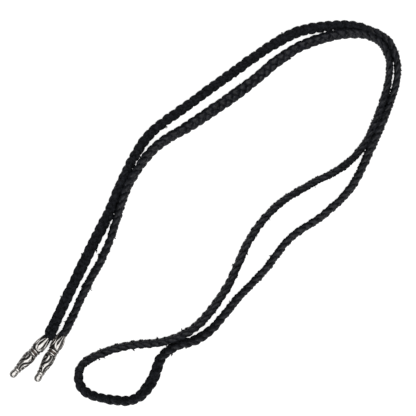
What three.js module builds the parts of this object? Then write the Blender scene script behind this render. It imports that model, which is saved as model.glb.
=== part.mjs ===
// Braided leather necklace laid doubled on a table: one flat braid of three leather laces,
// with a cast silver tip on each of its two free ends. Millimetres, +Z up, table at z = 0.
import * as THREE from 'three';

const { clamp, degToRad, lerp, smoothstep } = THREE.MathUtils;

// The laces and the braid they make
const LACE_NAMES = ['strand_1', 'strand_2', 'strand_3'];
const LACE_WIDTH = 2;
const LACE_THICKNESS = 1.16;
const LACE_GAP = 0.15;
const OUTER_CORNER_CUT = 0.85;
const BRAID_WIDTH = 6.2;
const BRAID_PITCH = 13.5;

// Where the braid lies flat, each lace is pressed flat for a short length under the braid
const PRESSED_FROM = 18;
const PRESSED_TO = 54;
const PRESSED_LENGTH = 1.4;

// The braid's two ends, drawn together and raised to enter the tips
const DRAWN_WIDTH = 0.62;
const DRAWN_THICKNESS = 0.85;
const DRAWING_LENGTH = 6;
const RISE_LENGTH = 16;

// The cast tips
const TIP_SIDES = 24;
const TIP_LEAVES = 6;
const LEAF_RELIEF = 0.22;
const LEAF_LENGTH = 9;
const SCROLL_RIDGES = 3;
const SCROLL_RELIEF = 0.2;
const SCROLL_START = 12.2;
const SCROLL_END = 22;
const SCROLL_TURN = degToRad(200);
const SOCKET_RADIUS = 2.4;
const SOCKET_DEPTH = 8;
const SEAT_GAP = 0.5;
const TIPS = [
  { name: 'tip_left', end: 'first', spin: 0 },
  { name: 'tip_right', end: 'last', spin: 30 },
];

// Outside of a tip from its mouth to its rounded end: distance from the mouth and radius.
// A lying tip touches the table with its bulge and its bead.
const TIP_BULGE = { along: 6, radius: 3.5 };
const TIP_BEAD = { along: 26.2, radius: 1.95 };
const TIP_PROFILE = [
  { along: 0, radius: 2.8 },
  { along: 0.7, radius: 2.95 },
  { along: 2, radius: 3.15 },
  { along: 3.3, radius: 3.3 },
  { along: 4.6, radius: 3.42 },
  TIP_BULGE,
  { along: 7.3, radius: 3.42 },
  { along: 8.4, radius: 3.3 },
  { along: 9.1, radius: 3.2 },
  { along: 9.4, radius: 2.85 },
  { along: 9.7, radius: 3.2 },
  { along: 10.5, radius: 3.2 },
  { along: 10.8, radius: 2.8 },
  { along: 11.1, radius: 3.1 },
  { along: 11.8, radius: 3.1 },
  { along: 12.1, radius: 2.75 },
  { along: 12.5, radius: 2.95 },
  { along: 13.8, radius: 2.92 },
  { along: 15.1, radius: 2.85 },
  { along: 16.4, radius: 2.75 },
  { along: 17.7, radius: 2.62 },
  { along: 19, radius: 2.45 },
  { along: 20.5, radius: 2.27 },
  { along: 22, radius: 2.08 },
  { along: 22.4, radius: 1.75 },
  { along: 22.8, radius: 2.1 },
  { along: 23.6, radius: 2.1 },
  { along: 24.1, radius: 1.5 },
  { along: 24.7, radius: 1.65 },
  TIP_BEAD,
  { along: 27.5, radius: 1.5 },
  { along: 28.2, radius: 0.8 },
  { along: 28.4, radius: 0 },
];

// Middle line of the braid in plan, from the mouth of one tip to the mouth of the other.
// Roll is the braid's turn about its own line: 0 and 180 lie flat, 90 stands on edge.
const ROUTE = [
  { x: -88.7, y: -71.5, roll: 0 },
  { x: -87.2, y: -69.9, roll: 0 },
  { x: -83.5, y: -61.5, roll: 0 },
  { x: -64.3, y: -21.9, roll: 0 },
  { x: -54.9, y: -2, roll: 60 },
  { x: -48.6, y: 13.2, roll: 80 },
  { x: -41.2, y: 27.9, roll: 75 },
  { x: -31.6, y: 41.4, roll: 62 },
  { x: -9.8, y: 58.1, roll: 60 },
  { x: 35, y: 89.9, roll: 60 },
  { x: 49.8, y: 97.1, roll: 65 },
  { x: 64.7, y: 100.7, roll: 85 },
  { x: 77.9, y: 101.2, roll: 90 },
  { x: 90.9, y: 97.6, roll: 90 },
  { x: 98.8, y: 92.8, roll: 90 },
  { x: 103.1, y: 84.6, roll: 90 },
  { x: 103.9, y: 72.2, roll: 90 },
  { x: 97.8, y: 51, roll: 90 },
  { x: 88.9, y: 31, roll: 90 },
  { x: 78.5, y: 11.7, roll: 90 },
  { x: 62.9, y: -3.8, roll: 90 },
  { x: 44.9, y: -16.3, roll: 90 },
  { x: 31.6, y: -33.4, roll: 90 },
  { x: 16, y: -49.4, roll: 90 },
  { x: 2, y: -66.2, roll: 82 },
  { x: -6.7, y: -72.3, roll: 82 },
  { x: -17.4, y: -75.4, roll: 86 },
  { x: -25.6, y: -81.7, roll: 75 },
  { x: -30.5, y: -94.3, roll: 65 },
  { x: -40, y: -104.8, roll: 65 },
  { x: -56, y: -105, roll: 65 },
  { x: -68.6, y: -99.4, roll: 75 },
  { x: -71.7, y: -91.1, roll: 85 },
  { x: -64.8, y: -82.6, roll: 85 },
  { x: -44.1, y: -75.5, roll: 88 },
  { x: -22.2, y: -72.4, roll: 88 },
  { x: -7.5, y: -65.1, roll: 85 },
  { x: 9.5, y: -44.3, roll: 78 },
  { x: 24.1, y: -14.7, roll: 88 },
  { x: 38.4, y: 1.9, roll: 90 },
  { x: 71.5, y: 21.5, roll: 90 },
  { x: 86.8, y: 37.5, roll: 90 },
  { x: 96.5, y: 62.4, roll: 90 },
  { x: 99.2, y: 75, roll: 90 },
  { x: 98.6, y: 84, roll: 90 },
  { x: 94, y: 90.7, roll: 90 },
  { x: 86, y: 94.7, roll: 88 },
  { x: 73.5, y: 95.4, roll: 110 },
  { x: 50.3, y: 89, roll: 160 },
  { x: 23.9, y: 69.4, roll: 168 },
  { x: -12.3, y: 44.4, roll: 135 },
  { x: -30.4, y: 32, roll: 108 },
  { x: -42.5, y: 14, roll: 96 },
  { x: -50.6, y: -6.6, roll: 94 },
  { x: -58.6, y: -27, roll: 96 },
  { x: -73.5, y: -56.4, roll: 96 },
  { x: -80, y: -68.1, roll: 96 },
  { x: -81, y: -70, roll: 96 },
];

// One lace's way across the braid in a full turn. Side is a share of the edge offset, and level is
// over (1), between (0) or under (-1) the other two.
const EDGE_OFFSET = (BRAID_WIDTH - LACE_WIDTH) / 2;
const LEVEL_OFFSET = LACE_THICKNESS + LACE_GAP;
const BRAID_STEPS = [
  { side: 1, level: 1 },
  { side: 0, level: 0 },
  { side: -1, level: -1 },
  { side: -1, level: 1 },
  { side: 0, level: 0 },
  { side: 1, level: -1 },
];
const STEPS_BETWEEN_LACES = BRAID_STEPS.length / LACE_NAMES.length;

// Corners of a lace's section, counter-clockwise seen from further along the braid
const SECTION_CORNERS = [
  { across: -1, up: -1 },
  { across: 1, up: -1 },
  { across: 1, up: 1 },
  { across: -1, up: 1 },
];

// Outermost corners of the whole braid's section
const BRAID_CORNERS = [
  { x: BRAID_WIDTH / 2, z: LEVEL_OFFSET - LACE_THICKNESS / 2 },
  { x: BRAID_WIDTH / 2 - OUTER_CORNER_CUT, z: LEVEL_OFFSET + LACE_THICKNESS / 2 },
];

// The bulge is thicker than the bead, so the axis of a lying tip leans
const LEAF_RADIUS = TIP_BULGE.radius + LEAF_RELIEF;
const TIP_LEAN = Math.atan((LEAF_RADIUS - TIP_BEAD.radius) / (TIP_BEAD.along - TIP_BULGE.along));
const MOUTH_HEIGHT = TIP_BULGE.along * Math.sin(TIP_LEAN) + LEAF_RADIUS * Math.cos(TIP_LEAN);
const UP = new THREE.Vector3(0, 0, 1);

const plan = new THREE.CatmullRomCurve3(
  ROUTE.map(({ x, y }) => new THREE.Vector3(x, y, 0)),
  false,
  'centripetal',
);
plan.arcLengthDivisions = 4000;
const ROUTE_LENGTH = plan.getLength();

const leather = new THREE.MeshStandardMaterial({ color: 0x1f1f22, roughness: 0.62, metalness: 0 });
const silver = new THREE.MeshStandardMaterial({ color: 0xc8c6c1, roughness: 0.28, metalness: 1 });

// Height of the braid's middle line when the braid rests on the table at this roll
function restHeight(roll) {
  const reaches = BRAID_CORNERS.map(
    ({ x, z }) => Math.abs(x * Math.sin(roll)) + Math.abs(z * Math.cos(roll)),
  );
  return Math.max(...reaches);
}

function rollAt(t) {
  const last = ROUTE.length - 1;
  const row = Math.min(Math.floor(t * last), last - 1);
  return degToRad(lerp(ROUTE[row].roll, ROUTE[row + 1].roll, t * last - row));
}

// Place, cross axes and squeeze of the braid's section, at a distance from the first mouth.
// Distances below zero and past the route's length run straight on into the tips.
function braidFrame(distance) {
  const onRoute = clamp(distance, 0, ROUTE_LENGTH);
  const toMouth = Math.min(distance, ROUTE_LENGTH - distance);
  const t = plan.getUtoTmapping(onRoute / ROUTE_LENGTH);
  const roll = rollAt(t);
  const tangent = plan.getTangent(t);
  const side = new THREE.Vector3().crossVectors(UP, tangent);
  const axisHeight = MOUTH_HEIGHT + toMouth * Math.sin(TIP_LEAN);
  const centre = plan.getPoint(t).addScaledVector(tangent, distance - onRoute);
  centre.z = lerp(axisHeight, restHeight(roll), smoothstep(toMouth, 0, RISE_LENGTH));
  const open = smoothstep(toMouth, 0, DRAWING_LENGTH);
  const across = side.clone().multiplyScalar(Math.cos(roll)).addScaledVector(UP, Math.sin(roll));
  const up = UP.clone().multiplyScalar(Math.cos(roll)).addScaledVector(side, -Math.sin(roll));
  across.multiplyScalar(lerp(DRAWN_WIDTH, 1, open));
  up.multiplyScalar(lerp(DRAWN_THICKNESS, 1, open));
  return { centre, across, up };
}

// The four corners of one lace at this step of the braid, with the corner that faces outwards cut
function laceSection({ centre, across, up }, step) {
  return SECTION_CORNERS.map((corner) => {
    const facesOut = corner.across === step.side && corner.up === step.level;
    const halfWidth = LACE_WIDTH / 2 - (facesOut ? OUTER_CORNER_CUT : 0);
    const x = step.side * EDGE_OFFSET + corner.across * halfWidth;
    const z = step.level * LEVEL_OFFSET + (corner.up * LACE_THICKNESS) / 2;
    return centre.clone().addScaledVector(across, x).addScaledVector(up, z);
  });
}

// A closed skin through four-cornered sections
function loft(sections) {
  const sides = SECTION_CORNERS.length;
  const lastRing = (sections.length - 1) * sides;
  const faces = [0, 2, 1, 0, 3, 2];
  for (let ring = 0; ring < lastRing; ring += sides) {
    for (let corner = 0; corner < sides; corner += 1) {
      const here = ring + corner;
      const beside = ring + ((corner + 1) % sides);
      faces.push(here, beside, beside + sides, here, beside + sides, here + sides);
    }
  }
  faces.push(lastRing, lastRing + 1, lastRing + 2, lastRing, lastRing + 2, lastRing + 3);
  const geometry = new THREE.BufferGeometry().setFromPoints(sections.flat());
  geometry.setIndex(faces);
  geometry.computeVertexNormals();
  return geometry;
}

function makeStrand(name, lace) {
  const seated = SOCKET_DEPTH - SEAT_GAP;
  const length = ROUTE_LENGTH + 2 * seated;
  const count = Math.round((length / BRAID_PITCH) * BRAID_STEPS.length);
  const sections = [];
  for (let i = 0; i <= count; i += 1) {
    const step = BRAID_STEPS[(i + lace * STEPS_BETWEEN_LACES) % BRAID_STEPS.length];
    const distance = (i / count) * length - seated;
    const pressed = step.level < 0 && distance > PRESSED_FROM && distance < PRESSED_TO;
    const shifts = pressed ? [-PRESSED_LENGTH / 2, PRESSED_LENGTH / 2] : [0];
    sections.push(...shifts.map((shift) => laceSection(braidFrame(distance + shift), step)));
  }
  const strand = new THREE.Mesh(loft(sections), leather);
  strand.name = name;
  return strand;
}

// Height of a tip's cast ornament above its profile: long leaves from the mouth, then scrolls
function tipRelief(along, angle) {
  if (along < LEAF_LENGTH) {
    return LEAF_RELIEF * Math.sin((Math.PI * along) / LEAF_LENGTH) * Math.cos(TIP_LEAVES * angle);
  }
  if (along < SCROLL_START || along > SCROLL_END) {
    return 0;
  }
  const share = (along - SCROLL_START) / (SCROLL_END - SCROLL_START);
  const fade = Math.sin(Math.PI * share);
  return SCROLL_RELIEF * fade * Math.cos(SCROLL_RIDGES * angle + SCROLL_TURN * share);
}

function makeTip({ name, end, spin }) {
  const socket = [
    new THREE.Vector2(0, SOCKET_DEPTH),
    new THREE.Vector2(SOCKET_RADIUS, SOCKET_DEPTH),
    new THREE.Vector2(SOCKET_RADIUS, 0),
  ];
  const outside = TIP_PROFILE.map(({ along, radius }) => new THREE.Vector2(radius, along));
  const profile = [...socket, ...outside];
  const geometry = new THREE.LatheGeometry(profile, TIP_SIDES);
  const position = geometry.attributes.position;
  for (let i = 0; i < position.count; i += 1) {
    const row = i % profile.length;
    if (row >= socket.length && profile[row].x > 0) {
      const angle = Math.atan2(position.getX(i), position.getZ(i));
      const grown = 1 + tipRelief(profile[row].y, angle) / profile[row].x;
      position.setX(i, position.getX(i) * grown);
      position.setZ(i, position.getZ(i) * grown);
    }
  }
  geometry.rotateY(degToRad(spin));
  const t = end === 'first' ? 0 : 1;
  const outwards = plan.getTangent(t).multiplyScalar(end === 'first' ? -1 : 1);
  const axis = outwards.multiplyScalar(Math.cos(TIP_LEAN)).addScaledVector(UP, -Math.sin(TIP_LEAN));
  const tip = new THREE.Mesh(geometry, silver);
  tip.name = name;
  tip.position.copy(plan.getPoint(t)).setZ(MOUTH_HEIGHT);
  tip.quaternion.setFromUnitVectors(new THREE.Vector3(0, 1, 0), axis);
  return tip;
}

const necklace = new THREE.Group();
necklace.add(...LACE_NAMES.map(makeStrand));
necklace.add(...TIPS.map(makeTip));

// The origin is the middle of the lying necklace, on the table
necklace.updateMatrixWorld(true);
const box = new THREE.Box3().setFromObject(necklace, true);
const middle = box.getCenter(new THREE.Vector3());
necklace.position.set(-middle.x, -middle.y, -box.min.z);

export default necklace;
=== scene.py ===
"""Looks of a braided leather necklace that lies doubled on a pale table.

Three black leather laces are woven along the necklace's route, a cast silver tip closes each end,
and a fine nap stands on the leather. Metres, +Z up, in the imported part's own frame.
"""

import logging
import math
from dataclasses import dataclass, field
from enum import Enum
from typing import Any, ClassVar

import bmesh
import bpy
import numpy as np
from mathutils import Matrix, Vector


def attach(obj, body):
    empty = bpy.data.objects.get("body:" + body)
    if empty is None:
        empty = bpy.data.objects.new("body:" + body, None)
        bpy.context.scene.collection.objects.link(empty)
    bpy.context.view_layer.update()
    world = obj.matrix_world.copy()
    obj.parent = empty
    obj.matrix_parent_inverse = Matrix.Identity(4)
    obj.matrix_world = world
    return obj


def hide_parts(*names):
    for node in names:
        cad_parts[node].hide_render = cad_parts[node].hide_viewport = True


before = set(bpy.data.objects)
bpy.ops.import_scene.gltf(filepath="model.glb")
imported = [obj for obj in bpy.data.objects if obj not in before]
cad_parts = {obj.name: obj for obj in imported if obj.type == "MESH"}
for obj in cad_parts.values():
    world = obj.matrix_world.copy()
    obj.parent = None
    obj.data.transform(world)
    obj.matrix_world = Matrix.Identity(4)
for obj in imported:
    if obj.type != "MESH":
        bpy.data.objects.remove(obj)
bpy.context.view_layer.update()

Array = np.ndarray
Colour = tuple[float, float, float, float]
Range = tuple[float, float]
Sockets = dict[str | int, Any]

log = logging.getLogger("necklace")

BODY = "root"
FLESH_ATTRIBUTE = "flesh"
CREST_ATTRIBUTE = "crest"
COLOUR_SOCKET = "NodeSocketColor"
VALUE_SOCKET = "NodeSocketFloat"
WHITE: Colour = (1.0, 1.0, 1.0, 1.0)
BLACK: Colour = (0.0, 0.0, 0.0, 1.0)
UP = np.array((0.0, 0.0, 1.0))
FULL_TURN = 2 * math.pi
MERGE_DISTANCE = 1e-7
SPIKE_SIDES = 3

# Waves of a stray, as shares of its period, and the height that their sum seldom passes
STRAY_WAVES = (0.63, 1.0, 1.71)
STRAY_HEIGHT = 2.0


@dataclass(frozen=True)
class RoutePoint:
    """A point of the braid's middle line in plan.

    Roll is the braid's turn about its own line in degrees: 0 and 180 lie flat, 90 stands on edge.
    Aside shifts the point to the left of the line, and girth is a share of the braid's full size.
    """

    x: float
    y: float
    roll: float
    aside: float = 0.0
    girth: float = 1.0


# From the mouth of the left tip to the mouth of the right one: x, y, roll, aside and girth
ROUTE = tuple(RoutePoint(*row) for row in (
    (-0.0888, -0.0714, 0),
    (-0.0873, -0.0698, 0),
    (-0.0856, -0.0665, 0, 0.0003),
    (-0.0835, -0.0615, 0, 0.0002, 0.98),
    (-0.0744, -0.0427, 0, 0.0003, 0.97),
    (-0.0643, -0.0219, 0, 0.0002, 1.0),
    (-0.0549, -0.002, 48, -0.0004, 1.02),
    (-0.0486, 0.0132, 74, -0.0002, 1.03),
    (-0.0412, 0.0279, 64, -0.0001),
    (-0.0316, 0.0414, 60, -0.0001, 1.03),
    (-0.0098, 0.0581, 60, -0.0003),
    (0.013, 0.0749, 60, -0.0005, 1.03),
    (0.035, 0.0899, 56, -0.0002, 1.02),
    (0.0498, 0.0971, 42, 0.0001, 1.02),
    (0.0573, 0.0993, 53, -0.0005, 1.07),
    (0.0647, 0.1007, 64, -0.0008, 1.04),
    (0.0779, 0.1012, 74, -0.0008, 1.0),
    (0.0909, 0.0976, 90, -0.0005, 0.91),
    (0.0988, 0.0928, 90, -0.0006, 0.9),
    (0.1031, 0.0846, 90, -0.0007, 0.9),
    (0.1039, 0.0722, 90, -0.0003, 0.85),
    (0.0978, 0.051, 90, -0.0008, 0.94),
    (0.0889, 0.031, 98, -0.0007, 1.03),
    (0.0785, 0.0117, 102, -0.0001, 0.97),
    (0.0629, -0.0038, 102, -0.0001, 0.93),
    (0.0449, -0.0163, 98, -0.0001, 0.9),
    (0.0316, -0.0334, 96, -0.0003, 0.91),
    (0.016, -0.0494, 90, 0.0, 0.95),
    (0.002, -0.0662, 76, -0.0002, 1.02),
    (-0.0067, -0.0723, 66, -0.0003, 1.04),
    (-0.0174, -0.0754, 70, -0.0001, 1.0),
    (-0.0256, -0.0817, 58, -0.0001, 1.0),
    (-0.0305, -0.0943, 14, -0.0003, 1.01),
    (-0.04, -0.1048, 58, -0.0004, 0.97),
    (-0.056, -0.105, 68, -0.0005, 0.98),
    (-0.0686, -0.0994, 70, 0.0002, 1.03),
    (-0.0717, -0.0911, 78, -0.0004, 1.02),
    (-0.0692, -0.086, 88, 0.0002, 1.04),
    (-0.0648, -0.0826, 96, 0.0002),
    (-0.0551, -0.078, 96, -0.0001),
    (-0.0441, -0.0755, 97, 0.0002, 0.98),
    (-0.0222, -0.0724, 101, 0.0, 0.99),
    (-0.0075, -0.0651, 104, -0.0001, 1.02),
    (0.0095, -0.0443, 104, 0.0),
    (0.0241, -0.0147, 100, 0.0002, 0.96),
    (0.0384, 0.0019, 90, 0.0002, 0.92),
    (0.0549, 0.0118, 90, 0.0008, 0.89),
    (0.0715, 0.0215, 90, 0.0, 0.92),
    (0.0801, 0.029, 90, -0.0003, 0.92),
    (0.0868, 0.0375, 90, -0.0002, 0.95),
    (0.0965, 0.0624, 90, -0.0004, 0.93),
    (0.0992, 0.075, 90, -0.0001, 0.86),
    (0.0986, 0.084, 90, -0.0001, 0.9),
    (0.094, 0.0907, 90, -0.0005, 0.91),
    (0.086, 0.0947, 100, -0.0006, 0.96),
    (0.0735, 0.0956, 134, -0.0004, 1.03),
    (0.0503, 0.089, 150, 0.0001, 0.93),
    (0.0373, 0.0801, 164, -0.0004, 0.98),
    (0.0239, 0.0694, 168, 0.0, 1.03),
    (0.0054, 0.0565, 158, 0.0004, 1.06),
    (-0.0123, 0.0444, 138, 0.0001, 1.02),
    (-0.0221, 0.0383, 122, -0.0003),
    (-0.0304, 0.032, 115, -0.0002, 1.04),
    (-0.0425, 0.014, 104, -0.0008, 1.03),
    (-0.0506, -0.0066, 85, 0.0, 0.95),
    (-0.0544, -0.0166, 80, 0.0005, 0.93),
    (-0.0586, -0.027, 78, 0.0003, 0.96),
    (-0.0661, -0.0422, 78, -0.0004, 0.98),
    (-0.0735, -0.0564, 81, 0.0003, 0.97),
    (-0.0773, -0.0632, 88, 0.0008),
    (-0.0782, -0.0669, 96),
    (-0.0796, -0.0686, 96),
    (-0.0804, -0.07, 96),
))

# Place of the route's zero in the part's frame
ROUTE_ORIGIN = np.array((0.001268733, 0.002648521, 0.0))


class TipEnd(Enum):
    """Which end of the route a silver tip closes."""

    FIRST = "first"
    LAST = "last"


class MixKind(Enum):
    """What a Mix node mixes: its data type, and the numbers of its low and high input and its output."""

    COLOURS = ("RGBA", 6, 7, 2)
    VALUES = ("FLOAT", 2, 3, 0)


def smoothstep(low: float, high: float, values: Array) -> Array:
    """Eases values from 0 at low to 1 at high, which may lie below low."""
    share = np.clip((values - low) / (high - low), 0.0, 1.0)
    return share * share * (3 - 2 * share)


def unit(vectors: Array) -> Array:
    """Scales each row of vectors to length 1."""
    return vectors / np.linalg.norm(vectors, axis=-1, keepdims=True)


def bell_smoothed(values: Array, width: float, reach: int) -> Array:
    """Smooths evenly spaced values with a bell, whose width and reach either way are in steps."""
    weights = np.exp(-0.5 * (np.arange(-reach, reach + 1) / width) ** 2)
    return np.convolve(np.pad(values, reach, mode="edge"), weights / weights.sum(), mode="valid")


@dataclass(frozen=True)
class Stray:
    """How far handwork strays from even, and the length over which it swings once."""

    most: float
    period: float

    def along(self, distance: Array, rng: np.random.Generator) -> Array:
        """The stray along the work: slow waves with seeded phases.

        Args:
            distance: Distances along the work.
            rng: Seeded source of the phases.

        Returns:
            One stray for each distance, seldom larger than the most.
        """
        phases = rng.uniform(0, FULL_TURN, len(STRAY_WAVES))
        waves = [np.sin(FULL_TURN * distance / (self.period * w) + p) for w, p in zip(STRAY_WAVES, phases)]
        return self.most * np.sum(waves, axis=0) / STRAY_HEIGHT


class PlanCurve:
    """A smooth curve through plan points, measured by its length."""

    SAMPLES_PER_SPAN = 70

    def __init__(self, points: Array) -> None:
        """Works out the curve's spans.

        Args:
            points: One row of coordinates for each point.
        """
        padded = np.vstack((2 * points[0] - points[1], points, 2 * points[-1] - points[-2]))
        gaps = np.sqrt(np.linalg.norm(np.diff(padded, axis=0), axis=1))[:, None]
        before, here, after = gaps[:-2], gaps[1:-1], gaps[2:]
        p0, p1, p2, p3 = padded[:-3], padded[1:-2], padded[2:-1], padded[3:]
        self.starts, self.ends = p1, p2
        self.leave = here * ((p1 - p0) / before - (p2 - p0) / (before + here)) + (p2 - p1)
        self.arrive = (p2 - p1) - here * ((p3 - p1) / (here + after) - (p3 - p2) / after)
        self.spans = len(p1)
        self.knots = np.linspace(0, self.spans, self.spans * self.SAMPLES_PER_SPAN + 1)
        steps = np.linalg.norm(np.diff(self.points(self.knots), axis=0), axis=1)
        self.lengths = np.concatenate(((0.0,), np.cumsum(steps)))
        self.length = float(self.lengths[-1])

    def _share(self, t: Array) -> tuple[Array, Array]:
        """Span number and share of the span at each curve parameter."""
        span = np.clip(np.floor(t).astype(int), 0, self.spans - 1)
        return span, (t - span)[:, None]

    def points(self, t: Array) -> Array:
        """Places on the curve.

        Args:
            t: Curve parameters, which count the spans.

        Returns:
            One row of coordinates for each parameter.
        """
        span, s = self._share(t)
        rise = s * s * (3 - 2 * s)
        places = self.starts[span] * (1 - rise) + self.ends[span] * rise
        return places + self.leave[span] * s * (1 - s) ** 2 - self.arrive[span] * s * s * (1 - s)

    def tangents(self, t: Array) -> Array:
        """Directions of the curve.

        Args:
            t: Curve parameters, which count the spans.

        Returns:
            One unit vector for each parameter.
        """
        span, s = self._share(t)
        slope = 6 * s * (1 - s) * (self.ends[span] - self.starts[span])
        slope = slope + self.leave[span] * (1 - s) * (1 - 3 * s)
        return unit(slope + self.arrive[span] * s * (3 * s - 2))

    def parameter(self, distance: Array) -> Array:
        """Curve parameters at distances from its start."""
        return np.interp(distance, self.lengths, self.knots)


def laid_points() -> Array:
    """The route's points, each shifted aside as the soft braid lies.

    Returns:
        One row of coordinates for each point.
    """
    points = np.array([(p.x, p.y, 0.0) for p in ROUTE])
    left = np.cross(UP, unit(np.gradient(points, axis=0)))
    return points + left * np.array([p.aside for p in ROUTE])[:, None]


PLAN = PlanCurve(laid_points())
ROLLS = np.radians([p.roll for p in ROUTE])
GIRTHS = np.array([p.girth for p in ROUTE])


class Sheet:
    """A short way to write down a node tree."""

    def __init__(self, tree: bpy.types.NodeTree) -> None:
        """Starts on the tree of a material or of a node group, which it empties."""
        self.tree = tree
        tree.nodes.clear()

    def add(self, kind: str, sockets: Sockets | None = None, **settings: Any) -> bpy.types.Node:
        """Adds a node.

        Args:
            kind: Blender's name of the node type.
            sockets: Input values, or output sockets to link, by input name or number.
            settings: Properties of the node itself.

        Returns:
            The new node.
        """
        node = self.tree.nodes.new(kind)
        for name, value in settings.items():
            setattr(node, name, value)
        for name, value in (sockets or {}).items():
            if isinstance(value, bpy.types.NodeSocket):
                self.tree.links.new(value, node.inputs[name])
            else:
                node.inputs[name].default_value = value
        return node

    def mix(self, factor: Any, low: Any, high: Any,
            kind: MixKind = MixKind.COLOURS) -> bpy.types.NodeSocket:
        """Mixes two colours or two values.

        Args:
            factor: A socket or a number.
            low: Result at factor 0, a socket or plain numbers.
            high: Result at factor 1, a socket or plain numbers.
            kind: What is mixed.

        Returns:
            The mixture's socket.
        """
        data_type, low_input, high_input, output = kind.value
        node = self.add("ShaderNodeMix", {0: factor, low_input: low, high_input: high}, data_type=data_type)
        return node.outputs[output]

    def noise(self, place: Any, scale: Any, detail: float, roughness: float) -> bpy.types.NodeSocket:
        """Puts soft random noise on a surface."""
        numbers = {"Vector": place, "Scale": scale, "Detail": detail, "Roughness": roughness}
        return self.add("ShaderNodeTexNoise", numbers).outputs[0]

    def reckon(self, operation: str, *values: Any) -> bpy.types.NodeSocket:
        """Reckons with values, each a socket or a number."""
        return self.add("ShaderNodeMath", dict(enumerate(values)), operation=operation).outputs[0]

    def span(self, value: Any, low: float, high: float, to_low: float = 0.0,
             to_high: float = 1.0) -> bpy.types.NodeSocket:
        """Maps a value's range to another range, with smooth ends.

        Args:
            value: The value to map.
            low: Where the range starts.
            high: Where it ends.
            to_low: Result at low.
            to_high: Result at high.

        Returns:
            The mapped value's socket.
        """
        numbers = dict(enumerate((value, low, high, to_low, to_high)))
        node = self.add("ShaderNodeMapRange", numbers, interpolation_type="SMOOTHSTEP")
        return node.outputs[0]

    def bump(self, height: Any, strength: float, depth: float) -> bpy.types.NodeSocket:
        """Turns a height into a normal."""
        numbers = {"Strength": strength, "Distance": depth, "Height": height}
        return self.add("ShaderNodeBump", numbers).outputs[0]

    def attribute(self, name: str) -> bpy.types.NodeSocket:
        """Reads a value that a mesh's points hold."""
        return self.add("ShaderNodeAttribute", attribute_name=name).outputs["Fac"]

    def group(self, group: "NodeGroup", sockets: Sockets) -> bpy.types.Node:
        """Places a node group with its own values."""
        return self.add("ShaderNodeGroup", sockets, node_tree=group.tree())


class NodeGroup:
    """An effect that several finishes share, built once as a shader node group."""

    name: str
    inputs: ClassVar[dict[str, str]]
    outputs: ClassVar[dict[str, str]]

    def tree(self) -> bpy.types.NodeTree:
        """The group's node tree.

        Returns:
            The tree of the group's name, filled on its first use.
        """
        found = bpy.data.node_groups.get(self.name)
        if found:
            return found
        tree = bpy.data.node_groups.new(self.name, "ShaderNodeTree")
        for in_out, sockets in (("INPUT", self.inputs), ("OUTPUT", self.outputs)):
            for label, socket_type in sockets.items():
                tree.interface.new_socket(label, in_out=in_out, socket_type=socket_type)
        sheet = Sheet(tree)
        given = sheet.add("NodeGroupInput").outputs
        place = sheet.add("ShaderNodeTexCoord").outputs["Object"]
        sheet.add("NodeGroupOutput", self.results(sheet, given, place))
        return tree

    def results(self, sheet: Sheet, given: Any, place: bpy.types.NodeSocket) -> Sockets:
        """What the group puts out; each kind of group says it."""
        raise NotImplementedError


@dataclass(frozen=True)
class MottleGroup(NodeGroup):
    """Slow cloudy change of tone over a surface, used by every finish."""

    inputs: ClassVar[dict[str, str]] = {
        "Dark": COLOUR_SOCKET,
        "Light": COLOUR_SOCKET,
        "Scale": VALUE_SOCKET,
    }
    outputs: ClassVar[dict[str, str]] = {"Color": COLOUR_SOCKET}
    name: str = "cloudy_mottle"
    detail: float = 4.0
    roughness: float = 0.75
    dark_to_light: Range = (0.33, 0.67)

    def results(self, sheet: Sheet, given: Any, place: bpy.types.NodeSocket) -> Sockets:
        """Turns two colours into one cloudy colour.

        Args:
            sheet: The group's nodes.
            given: The group's inputs.
            place: Coordinates on the object.

        Returns:
            The colour.
        """
        clouds = sheet.noise(place, given["Scale"], self.detail, self.roughness)
        tone = sheet.span(clouds, *self.dark_to_light)
        return {"Color": sheet.mix(tone, given["Dark"], given["Light"])}


@dataclass(frozen=True)
class GrainGroup(NodeGroup):
    """Height of fine creases and pits at a given scale, used by the leather and the cast silver."""

    inputs: ClassVar[dict[str, str]] = {"Scale": VALUE_SOCKET}
    outputs: ClassVar[dict[str, str]] = {"Pebbles": VALUE_SOCKET, "Fibres": VALUE_SOCKET}
    name: str = "fine_grain"
    detail: float = 6.0
    roughness: float = 0.7

    def results(self, sheet: Sheet, given: Any, place: bpy.types.NodeSocket) -> Sockets:
        """Gives pebbles and fibres as two heights.

        Args:
            sheet: The group's nodes.
            given: The group's inputs.
            place: Coordinates on the object.

        Returns:
            The two heights.
        """
        where = {"Vector": place, "Scale": given["Scale"]}
        pebbles = sheet.add("ShaderNodeTexVoronoi", where, feature="SMOOTH_F1").outputs["Distance"]
        fibres = sheet.noise(place, given["Scale"], self.detail, self.roughness)
        return {"Pebbles": pebbles, "Fibres": fibres}


class Finish:
    """A surface's finish, built once as a procedural material."""

    name: str

    def material(self) -> bpy.types.Material:
        """The finish as a material.

        Returns:
            The material of the finish's name, dressed on its first use.
        """
        found = bpy.data.materials.get(self.name)
        if found:
            return found
        made = bpy.data.materials.new(self.name)
        made.use_nodes = True
        sheet = Sheet(made.node_tree)
        shader = sheet.add("ShaderNodeBsdfPrincipled", self.surface(sheet))
        sheet.add("ShaderNodeOutputMaterial", {"Surface": shader.outputs[0]})
        return made

    def surface(self, sheet: Sheet) -> Sockets:
        """What the finish sets or links on its shader; each finish says it."""
        raise NotImplementedError


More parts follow.
